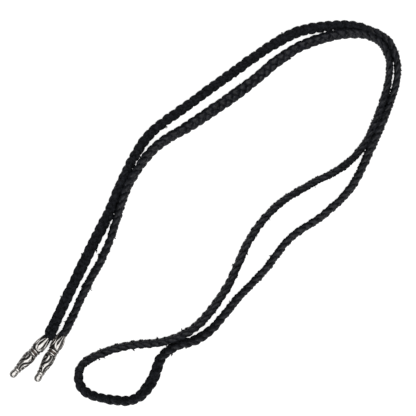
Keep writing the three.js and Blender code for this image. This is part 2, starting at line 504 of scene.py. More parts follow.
@dataclass(frozen=True)
class LeatherFinish(Finish):
    """Black lace leather: a smooth grain side and a napped flesh side."""

    name: str = "black_lace_leather"
    grain_dark: Colour = (0.0024, 0.0025, 0.0031, 1.0)
    grain_light: Colour = (0.0136, 0.0146, 0.0202, 1.0)
    flesh_dark: Colour = (0.0012, 0.0013, 0.0016, 1.0)
    flesh_light: Colour = (0.0142, 0.0155, 0.0192, 1.0)
    mottle_scale: float = 650.0
    grain_scale: float = 2600.0
    crease_scale: float = 800.0
    crease_share: float = 0.8
    grain_roughness: float = 0.4
    flesh_roughness: float = 0.92
    bump_strength: float = 0.8
    bump_depth: float = 0.00022
    specular: float = 0.1
    grain_coat: float = 0.36
    coat_roughness: float = 0.33
    rubbed: Range = (0.3, 0.7)

    def surface(self, sheet: Sheet) -> Sockets:
        """Mixes the two sides by the share of flesh side that the lace's points hold.

        Args:
            sheet: The material's nodes.

        Returns:
            Values and links of the shader's inputs.
        """
        flesh = sheet.attribute(FLESH_ATTRIBUTE)
        tones = []
        for dark, light in ((self.grain_dark, self.grain_light), (self.flesh_dark, self.flesh_light)):
            mottle = sheet.group(MottleGroup(), {"Dark": dark, "Light": light, "Scale": self.mottle_scale})
            tones.append(mottle.outputs[0])
        grain = sheet.group(GrainGroup(), {"Scale": self.grain_scale}).outputs
        creases = sheet.group(GrainGroup(), {"Scale": self.crease_scale}).outputs["Fibres"]
        fine = sheet.mix(flesh, grain["Pebbles"], grain["Fibres"], MixKind.VALUES)
        height = sheet.reckon("MULTIPLY_ADD", creases, self.crease_share, fine)
        coat = sheet.span(flesh, 0.0, 1.0, self.grain_coat, 0.0)
        return {
            "Base Color": sheet.mix(flesh, *tones),
            "Roughness": sheet.span(flesh, 0.0, 1.0, self.grain_roughness, self.flesh_roughness),
            "Normal": sheet.bump(height, self.bump_strength, self.bump_depth),
            "Specular IOR Level": self.specular,
            "Coat Weight": sheet.reckon("MULTIPLY", sheet.span(creases, *self.rubbed), coat),
            "Coat Roughness": self.coat_roughness,
        }


@dataclass(frozen=True)
class SilverFinish(Finish):
    """Cast silver, polished on its crests and darkened in its recesses.

    The ranges are of a crest's share of polish: from oxide to tarnish, from stain to polish, and those
    over which the silver gets smooth and metallic. Roughness is the oxide's and the polished silver's.
    """

    name: str = "darkened_cast_silver"
    polished_dark: Colour = (0.34, 0.326, 0.308, 1.0)
    polished_light: Colour = (0.48, 0.467, 0.449, 1.0)
    tarnish: Colour = (0.075, 0.048, 0.037, 1.0)
    oxide: Colour = (0.006, 0.005, 0.0045, 1.0)
    mottle_scale: float = 500.0
    grain_scale: float = 1800.0
    grain_range: Range = (0.25, 0.75)
    unevenness: float = 0.12
    tarnish_range: Range = (0.2, 0.5)
    polish_range: Range = (0.45, 0.8)
    smooth_range: Range = (0.3, 0.7)
    metal_range: Range = (0.3, 0.6)
    oxide_metal: float = 0.4
    bump_strength: float = 0.12
    bump_depth: float = 0.00006
    roughness: Range = (0.5, 0.22)

    def surface(self, sheet: Sheet) -> Sockets:
        """Darkens and dulls the silver where its points hold little polish.

        Args:
            sheet: The material's nodes.

        Returns:
            Values and links of the shader's inputs.
        """
        crest = sheet.attribute(CREST_ATTRIBUTE)
        grain = sheet.group(GrainGroup(), {"Scale": self.grain_scale}).outputs["Fibres"]
        uneven = sheet.span(grain, *self.grain_range, -self.unevenness, self.unevenness)
        worn = sheet.reckon("ADD", crest, uneven)
        tones = {"Dark": self.polished_dark, "Light": self.polished_light, "Scale": self.mottle_scale}
        polished = sheet.group(MottleGroup(), tones).outputs[0]
        stained = sheet.mix(sheet.span(worn, *self.tarnish_range), self.oxide, self.tarnish)
        return {
            "Base Color": sheet.mix(sheet.span(worn, *self.polish_range), stained, polished),
            "Roughness": sheet.span(worn, *self.smooth_range, *self.roughness),
            "Normal": sheet.bump(grain, self.bump_strength, self.bump_depth),
            "Metallic": sheet.span(worn, *self.metal_range, self.oxide_metal, 1.0),
        }


@dataclass(frozen=True)
class FloorFinish(Finish):
    """Smooth table top that glows for the lens and, more dimly, in mirror images, but lights nothing."""

    name: str = "white_table_top"
    dark: Colour = (0.42, 0.42, 0.42, 1.0)
    light: Colour = (0.46, 0.46, 0.46, 1.0)
    glow: Colour = (0.78, 0.78, 0.78, 1.0)
    mirrored: Colour = (0.3, 0.3, 0.3, 1.0)
    mottle_scale: float = 3.0
    roughness: float = 0.9

    def surface(self, sheet: Sheet) -> Sockets:
        """Chooses the glow by the kind of ray that meets the table.

        Args:
            sheet: The material's nodes.

        Returns:
            Values and links of the shader's inputs.
        """
        tones = {"Dark": self.dark, "Light": self.light, "Scale": self.mottle_scale}
        rays = sheet.add("ShaderNodeLightPath").outputs
        unseen = sheet.mix(rays["Is Glossy Ray"], BLACK, self.mirrored)
        return {
            "Base Color": sheet.group(MottleGroup(), tones).outputs[0],
            "Roughness": self.roughness,
            "Emission Color": sheet.mix(rays["Is Camera Ray"], unseen, self.glow),
            "Emission Strength": 1.0,
        }


def place_piece(name: str, shape: bmesh.types.BMesh, finish: Finish) -> bpy.types.Object:
    """Makes a finished shape an object of the scene.

    Args:
        name: The piece's name.
        shape: Its mesh, in its place; it is used up.
        finish: Its finish.

    Returns:
        The new object, smooth shaded.
    """
    mesh = bpy.data.meshes.new(name)
    shape.to_mesh(mesh)
    shape.free()
    mesh.shade_smooth()
    mesh.materials.append(finish.material())
    piece = bpy.data.objects.new(name, mesh)
    bpy.context.scene.collection.objects.link(piece)
    return piece


def report(piece: bpy.types.Object) -> None:
    """Logs a piece's name and its number of triangles.

    Args:
        piece: A finished piece.
    """
    mesh = piece.data
    mesh.calc_loop_triangles()
    log.info("%s: %d triangles", piece.name, len(mesh.loop_triangles))


@dataclass(frozen=True)
class FibreKind:
    """A kind of fibre that stands on the leather, alone or in tufts.

    Tries is the number of places, length the longest fibre and radius its foot's. Steepest is the largest
    rise of the leather's normal at such a place, lean how far a fibre leans along the lace, tuft the number
    of fibres at a place and fan how far they spread. Facing is how far a place faces out of the braid at
    least, looseness how far fibres stray from straight up along x, y and z, shortest the least share of
    the length and bend its sideways share. Waist_place and waist_girth say where a fibre thins and how far.
    """

    tries: int
    length: float
    radius: float
    steepest: float
    lean: float
    tuft: int = 1
    fan: float = 0.0
    facing: float = 0.35
    looseness: tuple[float, float, float] = (0.45, 0.45, 0.25)
    shortest: float = 0.35
    bend: float = 0.25
    waist_place: float = 0.5
    waist_girth: float = 0.55

    @staticmethod
    def faces() -> Array:
        """Faces of one spike, whose points are its foot's, its waist's and its end.

        Returns:
            Rows of three point numbers.
        """
        end = 2 * SPIKE_SIDES
        around = [(corner, (corner + 1) % SPIKE_SIDES) for corner in range(SPIKE_SIDES)]
        faces = [(0, 2, 1)]
        for one, two in around:
            faces.append((one, two, two + SPIKE_SIDES))
            faces.append((one, two + SPIKE_SIDES, one + SPIKE_SIDES))
        faces.extend((one + SPIKE_SIDES, two + SPIKE_SIDES, end) for one, two in around)
        return np.array(faces)


@dataclass
class Braid:
    """The flat braid of three leather laces, from inside one tip to inside the other."""

    finish: LeatherFinish
    mouth_height: float
    mouth_lean: float
    laces: tuple[str, ...] = ("strand_1", "strand_2", "strand_3")
    braid_width: float = 0.00632
    braid_thickness: float = 0.00445
    braid_squareness: float = 3.2
    edge_packing: float = 0.38
    face_packing: float = -0.4
    face_sharpness: int = 8
    packed_skin: Range = (0.5, 0.85)
    outline_slots: int = 90
    roll_steps: int = 181
    lace_width: float = 0.00362
    lace_thickness: float = 0.0016
    edge_narrowing: float = 0.05
    edge_bunching: float = 1.03
    corner_squareness: float = 2.5
    flesh_turnover: float = 0.6
    swing: float = 0.00142
    swing_squareness: float = -0.02
    lift: float = 0.00095
    pitch: float = 0.0135
    crossings: int = 6
    side_stray: Stray = Stray(0.00014, 0.021)
    lift_stray: Stray = Stray(0.0001, 0.017)
    twist_stray: Stray = Stray(0.2, 0.019)
    width_stray: Stray = Stray(0.08, 0.024)
    depth_stray: Stray = Stray(0.08, 0.013)
    seated: float = 0.0075
    drawn_width: float = 0.58
    drawn_thickness: float = 0.82
    drawing_length: float = 0.0026
    bulge: float = 0.07
    bulge_place: float = 0.0045
    bulge_length: float = 0.003
    rise_length: float = 0.016
    pressed: float = 0.0001
    rings_per_pitch: int = 50
    sides: int = 22
    roughened: float = 0.00009
    nap: FibreKind = FibreKind(tries=7000, length=0.0006, radius=0.00002, steepest=1.0, lean=0.8)
    burrs: FibreKind = FibreKind(
        tries=900, length=0.0015, radius=0.00031, steepest=0.35, lean=0.4, tuft=4, fan=0.28)
    seed: int = 7
    surfaces: list[Array] = field(default_factory=list)
    outline: tuple[Array, Array] = field(init=False)

    def __post_init__(self) -> None:
        """Works out how far the loose laces reach, once for all."""
        self.outline = self.loose_outline()

    @property
    def length(self) -> float:
        """Length of the braid with its seated ends."""
        return PLAN.length + 2 * self.seated

    def section(self) -> tuple[Array, Array]:
        """Outline of a lace's section.

        Returns:
            Offsets across the lace and through it, once round from the middle of one edge.
        """
        angle = np.linspace(0, FULL_TURN, self.sides + 1)
        power = 2 / self.corner_squareness
        across = np.sign(np.cos(angle)) * np.abs(np.cos(angle)) ** power
        through = np.sign(np.sin(angle)) * np.abs(np.sin(angle)) ** power
        return across * self.lace_width / 2, through * self.lace_thickness / 2

    def phase(self, distance: Array, lace: int) -> Array:
        """Angle of a lace's weave.

        Args:
            distance: Distances from the first mouth.
            lace: Number of the lace.

        Returns:
            One angle for each distance.
        """
        count = round(self.length / self.pitch * self.crossings)
        step = (distance + self.seated) / self.length * count + lace * self.crossings / len(self.laces)
        return FULL_TURN / self.crossings * (step + 0.5)

    def weave(self, phase: Array) -> tuple[Array, Array]:
        """Middle of a lace, across the braid and up from its middle, at each angle of its weave."""
        sideways = np.cos(phase) - self.swing_squareness * np.cos(3 * phase)
        return self.swing * sideways / (1 - self.swing_squareness), self.lift * np.sin(2 * phase)

    def lace_sizes(self, phase: Array) -> tuple[Array, Array]:
        """Shares of a lace's flat width and thickness: it bunches up where it rounds the edge."""
        rounding = np.cos(phase) ** 2
        return 1 - self.edge_narrowing * rounding, 1 + self.edge_bunching * rounding

    def loose_lace(self, distance: Array, phase: Array, uneven: Any, rng: np.random.Generator) -> Array:
        """Skin of a lace in a straight braid, before the laces are pressed together.

        Args:
            distance: Places of the lace's rings along the braid.
            phase: Angles of the weave there.
            uneven: Share of the handwork's strays, one number or one for each ring.
            rng: Seeded source of the strays.

        Returns:
            Offsets across, along and up from the braid's middle, by ring and by place round the lace.
        """
        x, z = self.weave(phase)
        x = x + uneven * self.side_stray.along(distance, rng)
        z = z + uneven * self.lift_stray.along(distance, rng)
        slopes = (np.gradient(x, distance), np.ones_like(x), np.gradient(z, distance))
        along = unit(np.stack(slopes, axis=1))
        wide = unit(np.cross(along, UP))
        thick = np.cross(wide, along)
        turn = (uneven * self.twist_stray.along(distance, rng))[:, None]
        wide, thick = wide * np.cos(turn) + thick * np.sin(turn), thick * np.cos(turn) - wide * np.sin(turn)
        across_lace, through_lace = self.section()
        width, depth = self.lace_sizes(phase)
        width = (width * (1 + uneven * self.width_stray.along(distance, rng)))[:, None] * across_lace
        depth = (depth * (1 + uneven * self.depth_stray.along(distance, rng)))[:, None] * through_lace
        middle = np.stack((x, np.zeros_like(x), z), axis=1)
        return middle[:, None] + wide[:, None] * width[..., None] + thick[:, None] * depth[..., None]

    def even_pitch(self) -> Array:
        """Loose skin of a lace over one pitch of an even, straight braid.

        Returns:
            Offsets across, along and up from the braid's middle, by ring and by place round the lace.
        """
        steps = np.arange(-1, self.rings_per_pitch + 2)
        distance = steps * self.pitch / self.rings_per_pitch
        rng = np.random.default_rng(self.seed)
        return self.loose_lace(distance, distance / self.pitch * FULL_TURN, 0.0, rng)[1:-1]

    def loose_outline(self) -> tuple[Array, Array]:
        """How far the loose braid reaches out from its middle in each direction of its section.

        Returns:
            Angles over one turn and radii.
        """
        skin = self.even_pitch()
        slots = self.outline_slots
        angle = np.arctan2(skin[..., 2], skin[..., 0]).ravel()
        radius = np.hypot(skin[..., 2], skin[..., 0]).ravel()
        slot = np.floor((angle + math.pi) / FULL_TURN * slots).astype(int) % slots
        reach = np.zeros(slots)
        np.maximum.at(reach, slot, radius)
        return (np.arange(slots) + 0.5) * FULL_TURN / slots - math.pi, reach

    def packed(self, skin: Array) -> Array:
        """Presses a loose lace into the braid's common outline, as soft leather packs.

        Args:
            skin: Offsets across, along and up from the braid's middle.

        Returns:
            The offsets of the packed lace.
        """
        angle = np.arctan2(skin[..., 2], skin[..., 0])
        radius = np.hypot(skin[..., 2], skin[..., 0])
        share = radius / np.interp(angle, *self.outline, period=FULL_TURN)
        on_face = np.sin(angle) ** self.face_sharpness
        packing = self.edge_packing + (self.face_packing - self.edge_packing) * on_face
        share = share + packing * (1 - share) * smoothstep(*self.packed_skin, share)
        power = self.braid_squareness
        wide = np.abs(np.cos(angle) / (self.braid_width / 2)) ** power
        tall = np.abs(np.sin(angle) / (self.braid_thickness / 2)) ** power
        scale = share * (wide + tall) ** (-1 / power) / np.maximum(radius, MERGE_DISTANCE)
        return skin * np.stack((scale, np.ones_like(scale), scale), axis=-1)

    def reach(self, roll: Array) -> Array:
        """Distance from the braid's middle line down to the table, for each roll.

        Args:
            roll: Turns of the braid about its line, in radians.

        Returns:
            Heights of the middle line above the table.
        """
        skin = self.packed(self.even_pitch())
        x, z = skin[..., 0].ravel(), skin[..., 2].ravel()
        rolls = np.linspace(0, math.pi, self.roll_steps)
        supports = [np.max(-x * math.sin(r) - z * math.cos(r)) for r in rolls]
        return np.interp(roll, rolls, supports)

    def frames(self, distance: Array) -> tuple[Array, Array, Array, Array, Array]:
        """Place and cross axes of the braid's section.

        Args:
            distance: Distances from the first mouth; outside the route they run straight on.

        Returns:
            Middle points, unit axes across, along and up, and shares of the full size across and up.
        """
        on_route = np.clip(distance, 0, PLAN.length)
        to_mouth = np.minimum(distance, PLAN.length - distance)
        t = PLAN.parameter(on_route)
        tangent = PLAN.tangents(t)
        roll = np.interp(t, np.arange(len(ROLLS)), ROLLS)[:, None]
        girth = np.interp(t, np.arange(len(GIRTHS)), GIRTHS)
        side = np.cross(UP, tangent)
        centre = PLAN.points(t) + tangent * (distance - on_route)[:, None] + ROUTE_ORIGIN
        axis_height = self.mouth_height + to_mouth * math.sin(self.mouth_lean)
        risen = smoothstep(0, self.rise_length, to_mouth)
        lying = self.reach(roll[:, 0]) * girth - self.pressed
        centre[:, 2] = axis_height * (1 - risen) + lying * risen
        across = side * np.cos(roll) + UP * np.sin(roll)
        up = UP * np.cos(roll) - side * np.sin(roll)
        opened = smoothstep(0, self.drawing_length, to_mouth)[:, None]
        off_bulge = (to_mouth[:, None] - self.bulge_place) / self.bulge_length
        swell = 1 + self.bulge * np.exp(-(off_bulge**2))
        share = np.hstack((
            (self.drawn_width + (1 - self.drawn_width) * opened) * swell,
            self.drawn_thickness + (1 - self.drawn_thickness) * opened,
        ))
        return centre, across, tangent, up, share * girth[:, None]

    def surface(self, lace: int) -> Array:
        """Skin of one lace as rings of points.

        Args:
            lace: Number of the lace.

        Returns:
            Points by ring and by place round the lace; the last place repeats the first.
        """
        rng = np.random.default_rng(self.seed + lace)
        rings = round(self.length / self.pitch * self.rings_per_pitch)
        distance = np.linspace(-self.seated, PLAN.length + self.seated, rings + 1)
        centre, across, tangent, up, share = self.frames(distance)
        free = smoothstep(0, 2 * self.drawing_length, np.minimum(distance, PLAN.length - distance))
        skin = self.packed(self.loose_lace(distance, self.phase(distance, lace), free, rng))
        rough = rng.normal(size=(rings + 1, self.sides))
        for axis in (0, 1):
            rough = (np.roll(rough, 1, axis) + 2 * rough + np.roll(rough, -1, axis)) / 4
        rough = 1 + self.roughened / self.lace_thickness * np.hstack((rough, rough[:, :1]))
        skin = skin * rough[..., None]
        points = centre[:, None] + across[:, None] * (skin[..., 0] * share[:, :1])[..., None]
        points = points + up[:, None] * (skin[..., 2] * share[:, 1:])[..., None]
        points = points + tangent[:, None] * skin[..., 1:2]
        points[:, :, 2] = np.maximum(points[:, :, 2], 0)
        return points

    def flesh_shares(self) -> Array:
        """How far each place round a lace is on its flesh side, from 0 to 1."""
        _, through = self.section()
        return smoothstep(-self.flesh_turnover, self.flesh_turnover, through / (self.lace_thickness / 2))

    def make_lace(self, lace: int) -> bpy.types.Object:
        """Rolls a strip into a closed lace and weaves it along the route.

        Args:
            lace: Number of the lace.

        Returns:
            The finished lace, which stands for its solid.
        """
        points = self.surface(lace)
        self.surfaces.append(points)
        rings = len(points) - 1
        shape = bmesh.new()
        shape.loops.layers.uv.verify()
        bmesh.ops.create_grid(shape, x_segments=rings, y_segments=self.sides, size=1, calc_uvs=True)
        flesh = shape.verts.layers.float.new(FLESH_ATTRIBUTE)
        shares = self.flesh_shares()
        for vertex in shape.verts:
            ring = round((vertex.co.x + 1) / 2 * rings)
            side = round((vertex.co.y + 1) / 2 * self.sides)
            vertex[flesh] = shares[side]
            vertex.co = points[ring, side]
        bmesh.ops.remove_doubles(shape, verts=shape.verts, dist=MERGE_DISTANCE)
        ends = [edge for edge in shape.edges if edge.is_boundary]
        bmesh.ops.holes_fill(shape, edges=ends, sides=0)
        bmesh.ops.recalc_face_normals(shape, faces=shape.faces)
        name = self.laces[lace]
        piece = place_piece(f"leather_{name}", shape, self.finish)
        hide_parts(name)
        return piece

    def fibre_roots(self, kind: FibreKind, rng: np.random.Generator) -> tuple[Array, Array]:
        """Random places on the outside of the braid.

        Args:
            kind: Kind of fibre; places inside the braid or on the table are left out.
            rng: Seeded source of the places.

        Returns:
            The places and the directions in which fibres leave them.
        """
        skins = np.stack(self.surfaces)
        count = kind.tries
        lace = rng.integers(0, skins.shape[0], count)
        ring = rng.integers(1, skins.shape[1] - 1, count)
        side = rng.integers(1, skins.shape[2] - 1, count)
        root = skins[lace, ring, side]
        lengthwise = unit(skins[lace, ring + 1, side] - skins[lace, ring - 1, side])
        round_lace = skins[lace, ring, side + 1] - skins[lace, ring, side - 1]
        outwards = unit(np.cross(lengthwise, round_lace))
        lace_middle = skins[lace, ring].mean(axis=1)
        outwards *= np.sign(np.sum(outwards * (root - lace_middle), axis=1, keepdims=True))
        from_braid = root - skins[:, ring].mean(axis=(0, 2))
        shown = np.sum(unit(from_braid) * outwards, axis=1) > kind.facing
        shown &= np.linalg.norm(from_braid, axis=1) > self.lace_thickness
        shown &= root[:, 2] > self.lace_thickness / 2
        shown &= np.abs(outwards[:, 2]) <= kind.steepest
        loose = rng.normal(size=(count, 3)) * kind.looseness
        heading = unit(outwards + lengthwise * rng.normal(size=(count, 1)) * kind.lean + loose)
        return root[shown], heading[shown]

    def fibres(self, kind: FibreKind, rng: np.random.Generator) -> tuple[Array, Array]:
        """Thin three-sided spikes that stand on the leather.

        Args:
            kind: Kind of fibre.
            rng: Seeded source of the spikes' places and shapes.

        Returns:
            Points of all spikes and their faces as rows of three point numbers.
        """
        root, heading = (np.repeat(rows, kind.tuft, axis=0) for rows in self.fibre_roots(kind, rng))
        root = root + rng.normal(size=root.shape) * kind.radius * kind.fan * 2
        heading = unit(heading + rng.normal(size=heading.shape) * kind.fan)
        sideways = unit(np.cross(heading, rng.normal(size=heading.shape)))
        upright = np.cross(heading, sideways)
        reach = kind.length * rng.uniform(kind.shortest, 1.0, (len(root), 1))
        bend = unit(sideways * rng.normal(size=(len(root), 1)) + upright) * reach * kind.bend
        corners = FULL_TURN / SPIKE_SIDES * np.arange(SPIKE_SIDES)
        star = sideways[:, None] * np.cos(corners)[:, None] + upright[:, None] * np.sin(corners)[:, None]
        foot = (root - heading * kind.radius)[:, None] + star * kind.radius
        waist = (root + heading * reach * kind.waist_place)[:, None] + star * kind.radius * kind.waist_girth
        end = (root + heading * reach + bend)[:, None]
        points = np.concatenate((foot, waist, end), axis=1)
        points[..., 2] = np.maximum(points[..., 2], 0)
        firsts = points.shape[1] * np.arange(len(root))
        return points.reshape(-1, 3), (kind.faces() + firsts[:, None, None]).reshape(-1, 3)

    def make_nap(self) -> bpy.types.Object:
        """Joins the fine nap and the coarser burrs to one piece.

        Returns:
            The nap, which stands on the laces.
        """
        rng = np.random.default_rng(self.seed)
        fine_points, fine_faces = self.fibres(self.nap, rng)
        burr_points, burr_faces = self.fibres(self.burrs, rng)
        points = np.vstack((fine_points, burr_points))
        faces = np.vstack((fine_faces, burr_faces + len(fine_points)))
        mesh = bpy.data.meshes.new("leather_nap")
        mesh.from_pydata(points.tolist(), [], faces.tolist())
        flesh = mesh.attributes.new(FLESH_ATTRIBUTE, "FLOAT", "POINT")
        flesh.data.foreach_set("value", np.ones(len(points)))
        shape = bmesh.new()
        shape.from_mesh(mesh)
        bpy.data.meshes.remove(mesh)
        return place_piece("leather_nap", shape, self.finish)

    def build(self) -> list[bpy.types.Object]:
        """Makes the laces and their nap.

        Returns:
            The leather pieces, riding on the part's body.
        """
        pieces = [self.make_lace(lace) for lace in range(len(self.laces))]
        pieces.append(self.make_nap())
        for piece in pieces:
            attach(piece, BODY)
        return pieces


@dataclass(frozen=True)
class ProfilePoint:
    """A point of a tip's outside: distance from the mouth and radius."""

    along: float
    radius: float


TIP_BULGE = ProfilePoint(0.006, 0.0032)
TIP_BELLY = ProfilePoint(0.0148, 0.0031)
TIP_PROFILE = (
    ProfilePoint(0.0, 0.0024),
    ProfilePoint(0.0008, 0.00255),
    ProfilePoint(0.002, 0.00275),
    ProfilePoint(0.0032, 0.00298),
    ProfilePoint(0.0044, 0.00312),
    TIP_BULGE,
    ProfilePoint(0.0072, 0.00315),
    ProfilePoint(0.0079, 0.003),
    ProfilePoint(0.0083, 0.0027),
    ProfilePoint(0.0086, 0.00315),
    ProfilePoint(0.0091, 0.00315),
    ProfilePoint(0.0095, 0.0027),
    ProfilePoint(0.0102, 0.00265),
    ProfilePoint(0.0106, 0.00298),
    ProfilePoint(0.0111, 0.00298),
    ProfilePoint(0.0115, 0.0026),
    ProfilePoint(0.0119, 0.00285),
    ProfilePoint(0.0128, 0.00302),
    ProfilePoint(0.0138, 0.0031),
    TIP_BELLY,
    ProfilePoint(0.0158, 0.00304),
    ProfilePoint(0.0168, 0.00293),
    ProfilePoint(0.0178, 0.00278),
    ProfilePoint(0.0188, 0.0026),
    ProfilePoint(0.0198, 0.0024),
    ProfilePoint(0.0208, 0.00225),
    ProfilePoint(0.022, 0.00216),
    ProfilePoint(0.0224, 0.0018),
    ProfilePoint(0.0228, 0.00222),
    ProfilePoint(0.0236, 0.00222),
    ProfilePoint(0.0241, 0.00185),
    ProfilePoint(0.0248, 0.0018),
    ProfilePoint(0.0254, 0.002),
    ProfilePoint(0.0265, 0.0021),
    ProfilePoint(0.0274, 0.002),
    ProfilePoint(0.0281, 0.0016),
    ProfilePoint(0.0286, 0.0009),
    ProfilePoint(0.0288, 0.0),
)
RING_START = 0.0084
RING_END = 0.0113
LEAF_RELIEF = 0.0003
SCROLL_RELIEF = 0.00018
LEAF_RADIUS = TIP_BULGE.radius + LEAF_RELIEF
SCROLL_RADIUS = TIP_BELLY.radius + SCROLL_RELIEF
TIP_LEAN = math.atan((LEAF_RADIUS - SCROLL_RADIUS) / (TIP_BELLY.along - TIP_BULGE.along))
MOUTH_HEIGHT = TIP_BULGE.along * math.sin(TIP_LEAN) + LEAF_RADIUS * math.cos(TIP_LEAN)


@dataclass(frozen=True)
class Relief:
    """An ornament's height over the plain outside and its share of polish, by row and step."""

    height: Array
    polish: Array


@dataclass(frozen=True)
class Petals:
    """Petals round a tip's mouth: each has a raised rim, a broad middle rib and two dark slits.

    Places and widths across a petal are shares of its half width, and ranges along it are shares of its
    length. Its outline is a sine, cut off at the mouth and skewed towards the rings.
    """

    count: int = 3
    start: float = -0.0006
    length: float = 0.0086
    fade: float = 0.0006
    cut_off: float = 0.1
    skew: float = 1.4
    fullness: float = 0.6
    least_half: float = 0.02
    edge: Range = (1.06, 0.92)
    ground: float = 0.00025
    hollow: float = 0.00016
    rib_half: float = 0.32
    rim_place: float = 0.82
    rim_half: float = 0.14
    slit_depth: float = 0.00045
    slit_place: float = 0.48
    slit_half: float = 0.17
    least_slit: float = 0.01
    slit_edge: Range = (1.2, 0.75)
    slit_opens: Range = (0.0, 0.1)
    slit_closes: Range = (0.8, 0.5)
    point_length: float = 0.0012
    point_slope: float = 1.6
    point_fade: float = 3.0
    point_closing: float = 0.12

    def off_middle(self, angle: Array) -> Array:
        """How far each angle is from the middle of its petal, from 0 to 1 between two petals."""
        turns = angle * self.count / FULL_TURN + 0.5
        return np.abs(2 * (turns - np.floor(turns)) - 1)

    def points(self, angle: Array) -> Array:
        """How far the mouth's rim runs out at the petals' points, at each angle."""
        return -self.point_length * (1 - self.point_slope * self.off_middle(angle))

    def relief(self, along: Array, angle: Array) -> Relief:
        """The petals' relief, which ends before the first ring.

        Args:
            along: Distances from the mouth, one row for each.
            angle: Angles round the tip.

        Returns:
            The relief by row and step.
        """
        share = np.clip((along - self.start) / self.length, 0, 1)
        half = np.sin(math.pi * (self.cut_off + (1 - self.cut_off) * share) ** self.skew) ** self.fullness
        across = self.off_middle(angle) / np.maximum(half, self.least_half)
        body = smoothstep(*self.edge, across)
        opened = self.slit_half * smoothstep(*self.slit_opens, share) * smoothstep(*self.slit_closes, share)
        off_slit = np.abs(across - self.slit_place) / np.maximum(opened, self.least_slit)
        slit = smoothstep(*self.slit_edge, off_slit)
        rib = np.exp(-((across / self.rib_half) ** 4))
        rim = np.exp(-(((across - self.rim_place) / self.rim_half) ** 2))
        height = body * (LEAF_RELIEF - self.hollow * (1 - (rib + rim))) - self.slit_depth * slit
        height = height - self.ground * (1 - body)
        window = smoothstep(RING_START, RING_START - self.fade, along)
        return Relief(height * window, 1 - window * (1 - body * (1 - slit)))


@dataclass(frozen=True)
class Scrolls:
    """S-scrolls round a tip's tapered length, and the ridges that follow them.

    The ranges are shares of a ridge's height: where its flank rises, and where its polish starts.
    """

    count: int = 3
    turn: float = 74.0
    start: float = 0.0118
    end: float = 0.0221
    fade: float = 0.0004
    size: float = 0.0054
    winding: float = 1.35
    curve_points: int = 161
    spacing: float = 0.0021
    ground: float = 0.0004
    flank: Range = (0.2, 0.75)
    polished: Range = (0.3, 0.65)

    def curve(self) -> Array:
        """One S-scroll, whose bend grows evenly from its middle to its ends.

        Returns:
            Points along and sideways, centred.
        """
        t = np.linspace(-self.winding, self.winding, self.curve_points)
        bend = math.pi / 2 * t**2
        step = t[1] - t[0]
        one = np.cumsum(np.cos(bend)) * step
        two = np.cumsum(np.sin(bend)) * step
        points = np.stack((one + two, one - two), axis=1) / math.sqrt(2)
        return (points - points.mean(axis=0)) * self.size

    def relief(self, along: Array, angle: Array) -> Relief:
        """The scrolls' relief: ridges at even distances from the S-lines.

        Args:
            along: Distances from the mouth, one row for each.
            angle: Angles round the tip.

        Returns:
            The relief by row and step.
        """
        middle = (self.start + self.end) / 2
        radius = np.interp(middle, [p.along for p in TIP_PROFILE], [p.radius for p in TIP_PROFILE])
        turned = ((angle - math.radians(self.turn)) * self.count + math.pi) % FULL_TURN - math.pi
        sideways = turned / self.count * radius
        repeat = FULL_TURN / self.count * radius
        apart = np.full(np.broadcast(along, angle).shape, repeat)
        for up, side in self.curve():
            for shift in (-repeat, 0.0, repeat):
                apart = np.minimum(apart, np.hypot(along - middle - up, sideways - side - shift))
        ridges = 0.5 + 0.5 * np.cos(FULL_TURN * apart / self.spacing)
        window = smoothstep(self.start, self.start + self.fade, along)
        window = window * smoothstep(self.end, self.end - self.fade, along)
        raised = smoothstep(*self.flank, ridges)
        height = window * (SCROLL_RELIEF * raised - self.ground * (1 - raised))
        return Relief(height, 1 - window * (1 - smoothstep(*self.polished, ridges)))


